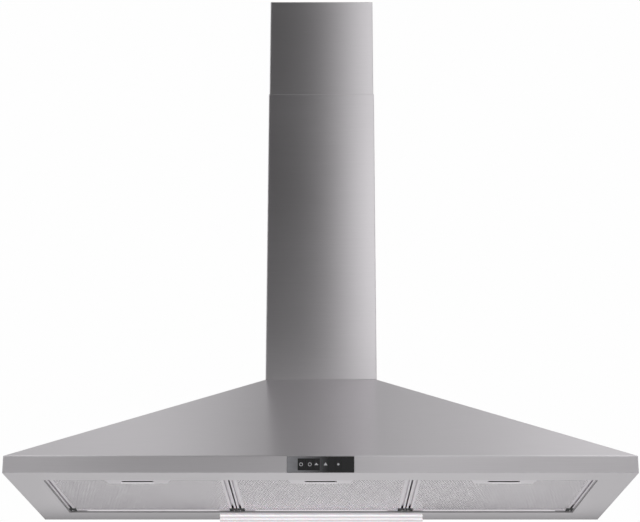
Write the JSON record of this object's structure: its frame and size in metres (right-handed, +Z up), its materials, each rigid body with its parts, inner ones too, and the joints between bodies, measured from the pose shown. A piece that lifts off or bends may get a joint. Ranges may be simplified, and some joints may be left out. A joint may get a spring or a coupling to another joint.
{
  "type": "wall mount range hood",
  "caption": "Wall-mounted range hood with a pyramid canopy, telescopic square chimney, mesh filters, rear lamp and a centrifugal blower.",
  "frame": {"origin": "middle of the back panel's bottom edge, on the wall plane", "axes": "+Z up, front faces -Y, +Y into the wall, X along the width"},
  "size_m": [1.2, 0.5008, 1.155],
  "materials": {
    "steel": "brushed",
    "zinc_plate": "plain",
    "aluminium": "satin",
    "gloss_black": "gloss",
    "black_plastic": "matt",
    "grey_plastic": "matt",
    "opal_plastic": "satin",
    "circuit_board": "matt"
  },
  "bodies": {
    "hood_body": {"canopy_shell": "steel", "back_panel": "zinc_plate", "underside_panel": "steel", "divider_bars": "steel", "rear_strip": "black_plastic", "chimney_collar": "zinc_plate", "hanging_bracket_left": "zinc_plate", "hanging_bracket_right": "zinc_plate", "canopy_screws": "zinc_plate", "control_box": "black_plastic", "control_fascia": "gloss_black", "control_board": "circuit_board", "lamp_tray": "zinc_plate", "lamp_board": "circuit_board", "lamp_cover": "opal_plastic", "volute_housing": "grey_plastic", "volute_side_left": "grey_plastic", "volute_side_right": "grey_plastic", "motor_mount": "zinc_plate", "motor": "zinc_plate", "blower_screws": "zinc_plate", "duct_spigot": "grey_plastic", "capacitor": "black_plastic", "electronics_box": "grey_plastic", "electronics_lid": "grey_plastic", "chimney_lower": "steel"},
    "chimney_top": {"chimney_upper": "steel", "ceiling_bracket": "zinc_plate", "chimney_screws": "zinc_plate"},
    "wheel": {"wheel_disc": "grey_plastic", "wheel_blades": "grey_plastic", "wheel_rings": "grey_plastic", "motor_shaft": "steel"},
    "flap_front": {"flap_front": "aluminium"},
    "flap_rear": {"flap_rear": "aluminium"},
    "key_power": {"key_power": "gloss_black"},
    "key_speed": {"key_speed": "gloss_black"},
    "key_down": {"key_down": "gloss_black"},
    "key_up": {"key_up": "gloss_black"},
    "key_light": {"key_light": "gloss_black"},
    "filter_left": {"filter_frame_left": "aluminium", "filter_mesh_left": "aluminium", "filter_corners_left": "black_plastic", "filter_handle_left": "aluminium"},
    "latch_left": {"filter_latch_left": "black_plastic"},
    "filter_centre": {"filter_frame_centre": "aluminium", "filter_mesh_centre": "aluminium", "filter_corners_centre": "black_plastic", "filter_handle_centre": "aluminium"},
    "latch_centre": {"filter_latch_centre": "black_plastic"},
    "filter_right": {"filter_frame_right": "aluminium", "filter_mesh_right": "aluminium", "filter_corners_right": "black_plastic", "filter_handle_right": "aluminium"},
    "latch_right": {"filter_latch_right": "black_plastic"}
  },
  "joints": [
    {"name": "chimney_extend", "type": "slide", "parent": "hood_body", "child": "chimney_top", "axis": [0, 0, 1], "range_m": [-0.19, 0.25]},
    {"name": "wheel_spin", "type": "hinge", "parent": "hood_body", "child": "wheel", "pos_m": [0, -0.135, 0.141], "axis": [1, 0, 0], "continuous": true},
    {"name": "flap_front_open", "type": "hinge", "parent": "hood_body", "child": "flap_front", "pos_m": [0, -0.106, 0.267], "axis": [-1, 0, 0], "range_deg": [0, 75]},
    {"name": "flap_rear_open", "type": "hinge", "parent": "hood_body", "child": "flap_rear", "pos_m": [0, -0.106, 0.267], "axis": [1, 0, 0], "range_deg": [0, 75]},
    {"name": "key_power_press", "type": "slide", "parent": "hood_body", "child": "key_power", "axis": [0, 1, 0], "range_m": [0, 0.0008], "stiffness_N_per_m": 1500, "springref_m": -0.0005},
    {"name": "key_speed_press", "type": "slide", "parent": "hood_body", "child": "key_speed", "axis": [0, 1, 0], "range_m": [0, 0.0008], "stiffness_N_per_m": 1500, "springref_m": -0.0005},
    {"name": "key_down_press", "type": "slide", "parent": "hood_body", "child": "key_down", "axis": [0, 1, 0], "range_m": [0, 0.0008], "stiffness_N_per_m": 1500, "springref_m": -0.0005},
    {"name": "key_up_press", "type": "slide", "parent": "hood_body", "child": "key_up", "axis": [0, 1, 0], "range_m": [0, 0.0008], "stiffness_N_per_m": 1500, "springref_m": -0.0005},
    {"name": "key_light_press", "type": "slide", "parent": "hood_body", "child": "key_light", "axis": [0, 1, 0], "range_m": [0, 0.0008], "stiffness_N_per_m": 1500, "springref_m": -0.0005},
    {"name": "filter_left_swing", "type": "hinge", "parent": "hood_body", "child": "filter_left", "pos_m": [-0.35567, -0.089, 0.0075], "axis": [1, 0, 0], "range_deg": [0, 75]},
    {"name": "latch_left_pull", "type": "slide", "parent": "filter_left", "child": "latch_left", "axis": [0, 1, 0], "range_m": [0, 0.006], "stiffness_N_per_m": 300, "springref_m": -0.004},
    {"name": "filter_centre_swing", "type": "hinge", "parent": "hood_body", "child": "filter_centre", "pos_m": [0, -0.089, 0.0075], "axis": [1, 0, 0], "range_deg": [0, 75]},
    {"name": "latch_centre_pull", "type": "slide", "parent": "filter_centre", "child": "latch_centre", "axis": [0, 1, 0], "range_m": [0, 0.006], "stiffness_N_per_m": 300, "springref_m": -0.004},
    {"name": "filter_right_swing", "type": "hinge", "parent": "hood_body", "child": "filter_right", "pos_m": [0.35567, -0.089, 0.0075], "axis": [1, 0, 0], "range_deg": [0, 75]},
    {"name": "latch_right_pull", "type": "slide", "parent": "filter_right", "child": "latch_right", "axis": [0, 1, 0], "range_m": [0, 0.006], "stiffness_N_per_m": 300, "springref_m": -0.004}
  ]
}
